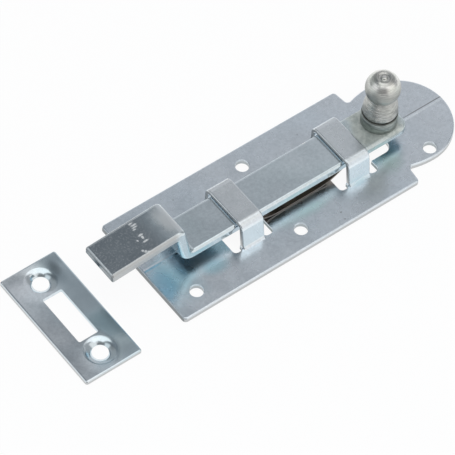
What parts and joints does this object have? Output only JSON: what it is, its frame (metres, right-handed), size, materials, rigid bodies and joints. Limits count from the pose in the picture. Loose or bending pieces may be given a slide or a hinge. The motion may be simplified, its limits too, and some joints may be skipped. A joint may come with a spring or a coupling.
{
  "type": "cranked bolt",
  "caption": "Surface-mounted sliding bolt with a cranked flat bar, a turned ball knob, pressed guide loops and a loose slotted strike plate.",
  "frame": {"origin": "on the mounting plate's back face, midway between its two middle screw holes", "axes": "+X along the bolt's travel from the cranked head to the knob end, +Y across the plate, +Z out of the mounting surface"},
  "size_m": [0.1585, 0.046, 0.0317],
  "materials": {
    "zinc_sheet": "bright zinc plated, satin",
    "zinc_bar": "bright zinc plated, satin",
    "turned_steel": "turned, zinc plated",
    "spring_steel": "dark brown tempered strip",
    "zinc_strike": "bright zinc plated, satin"
  },
  "bodies": {
    "base": {"base_plate": "zinc_sheet", "drag_spring": "spring_steel", "strike_plate": "zinc_strike"},
    "bolt": {"bolt_bar": "zinc_bar", "knob": "turned_steel"}
  },
  "joints": [
    {"name": "bolt_slide", "type": "slide", "parent": "base", "child": "bolt", "axis": [1, 0, 0], "range_m": [-0.0045, 0.0165]}
  ]
}
